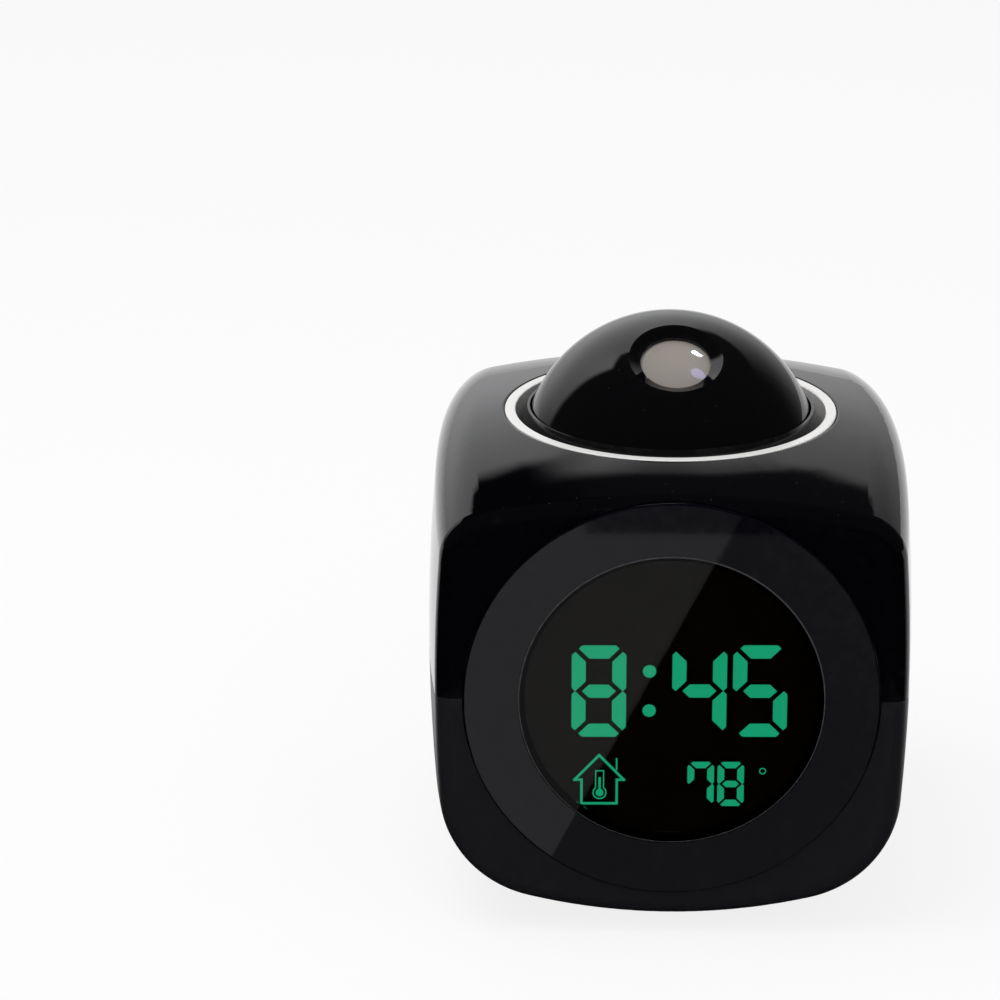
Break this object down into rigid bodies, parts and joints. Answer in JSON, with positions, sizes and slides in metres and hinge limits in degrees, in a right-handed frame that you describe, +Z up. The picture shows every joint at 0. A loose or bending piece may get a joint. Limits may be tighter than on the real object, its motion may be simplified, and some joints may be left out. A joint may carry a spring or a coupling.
{
  "type": "projection alarm clock",
  "caption": "Pillow-shaped table alarm clock with a round front display and a tilting ball projector in a press-down socket on top.",
  "frame": {"origin": "on the table, under the middle of the clock", "axes": "+Z up, -Y towards the user who reads the display, +X to the right of that user"},
  "size_m": [0.085, 0.086, 0.0988],
  "materials": {
    "upper_shell": "polished black moulding",
    "lower_shell": "satin black moulding",
    "rubber_feet": "soft black rubber",
    "case_screws": "blackened steel",
    "front_bezel": "glossy charcoal ring",
    "window_lens": "smoked clear window",
    "lcd_panel": "dark display glass",
    "lcd_diffuser": "frosted film",
    "light_guide": "clear acrylic plate",
    "zebra_strips": "striped silicone",
    "lcd_frame": "white moulding",
    "frame_screws": "zinc plated",
    "main_board": "green solder mask",
    "board_screws": "zinc plated",
    "board_parts": "epoxy and metal cans",
    "trim_ring": "glossy white ring",
    "head_bracket": "black moulding",
    "bracket_screws": "zinc plated",
    "head_springs": "bright spring wire",
    "switch_board": "green solder mask",
    "press_switch": "black push switch",
    "button_pad": "grey silicone",
    "button_board": "green solder mask",
    "button_screws": "zinc plated",
    "speaker_basket": "zinc plated cup",
    "speaker_magnet": "plated magnet",
    "speaker_cone": "thin film cone",
    "aaa_cells": "plain wrapped cells",
    "contact_plates": "nickel plated",
    "contact_springs": "nickel plated",
    "head_socket": "polished black moulding",
    "projector_ball": "polished black moulding",
    "pivot_pins": "turned steel",
    "projector_lens": "clear lens",
    "lens_ring": "black moulding",
    "projector_barrel": "black moulding",
    "film_holder": "black moulding",
    "projection_film": "small display cell",
    "led_board": "green solder mask",
    "projector_led": "clear red emitter",
    "battery_door": "satin black moulding",
    "mode_button": "satin black key",
    "set_button": "satin black key",
    "up_button": "satin black key",
    "down_button": "satin black key"
  },
  "bodies": {
    "case": {"upper_shell": "upper_shell", "lower_shell": "lower_shell", "rubber_feet": "rubber_feet", "case_screws": "case_screws", "front_bezel": "front_bezel", "window_lens": "window_lens", "lcd_panel": "lcd_panel", "lcd_diffuser": "lcd_diffuser", "light_guide": "light_guide", "zebra_strips": "zebra_strips", "lcd_frame": "lcd_frame", "frame_screws": "frame_screws", "main_board": "main_board", "board_screws": "board_screws", "board_parts": "board_parts", "trim_ring": "trim_ring", "head_bracket": "head_bracket", "bracket_screws": "bracket_screws", "head_springs": "head_springs", "switch_board": "switch_board", "press_switch": "press_switch", "button_pad": "button_pad", "button_board": "button_board", "button_screws": "button_screws", "speaker_basket": "speaker_basket", "speaker_magnet": "speaker_magnet", "speaker_cone": "speaker_cone", "aaa_cells": "aaa_cells", "contact_plates": "contact_plates", "contact_springs": "contact_springs"},
    "head_carrier": {"head_socket": "head_socket"},
    "projector": {"projector_ball": "projector_ball", "pivot_pins": "pivot_pins", "projector_lens": "projector_lens", "lens_ring": "lens_ring", "projector_barrel": "projector_barrel", "film_holder": "film_holder", "projection_film": "projection_film", "led_board": "led_board", "projector_led": "projector_led"},
    "battery_door": {"battery_door": "battery_door"},
    "mode_button": {"mode_button": "mode_button"},
    "set_button": {"set_button": "set_button"},
    "up_button": {"up_button": "up_button"},
    "down_button": {"down_button": "down_button"}
  },
  "joints": [
    {"name": "head_press", "type": "slide", "parent": "case", "child": "head_carrier", "axis": [0, 0, 1], "range_m": [-0.0015, 0], "stiffness_N_per_m": 1500, "springref_m": 0.0007, "deforming": ["head_springs"]},
    {"name": "projector_tilt", "type": "hinge", "parent": "head_carrier", "child": "projector", "pos_m": [0, 0, 0.07245], "axis": [0.9986, 0.0523, 0], "range_deg": [-27.8, 17.2]},
    {"name": "battery_door_hinge", "type": "hinge", "parent": "case", "child": "battery_door", "pos_m": [0, 0.0413, 0.0092], "axis": [-1, 0, 0], "range_deg": [0, 75]},
    {"name": "mode_button_press", "type": "slide", "parent": "case", "child": "mode_button", "axis": [0, 1, 0], "range_m": [-0.0007, 0], "stiffness_N_per_m": 1500, "springref_m": 0.0003},
    {"name": "set_button_press", "type": "slide", "parent": "case", "child": "set_button", "axis": [0, 1, 0], "range_m": [-0.0007, 0], "stiffness_N_per_m": 1500, "springref_m": 0.0003},
    {"name": "up_button_press", "type": "slide", "parent": "case", "child": "up_button", "axis": [0, 1, 0], "range_m": [-0.0007, 0], "stiffness_N_per_m": 1500, "springref_m": 0.0003},
    {"name": "down_button_press", "type": "slide", "parent": "case", "child": "down_button", "axis": [0, 1, 0], "range_m": [-0.0007, 0], "stiffness_N_per_m": 1500, "springref_m": 0.0003}
  ]
}
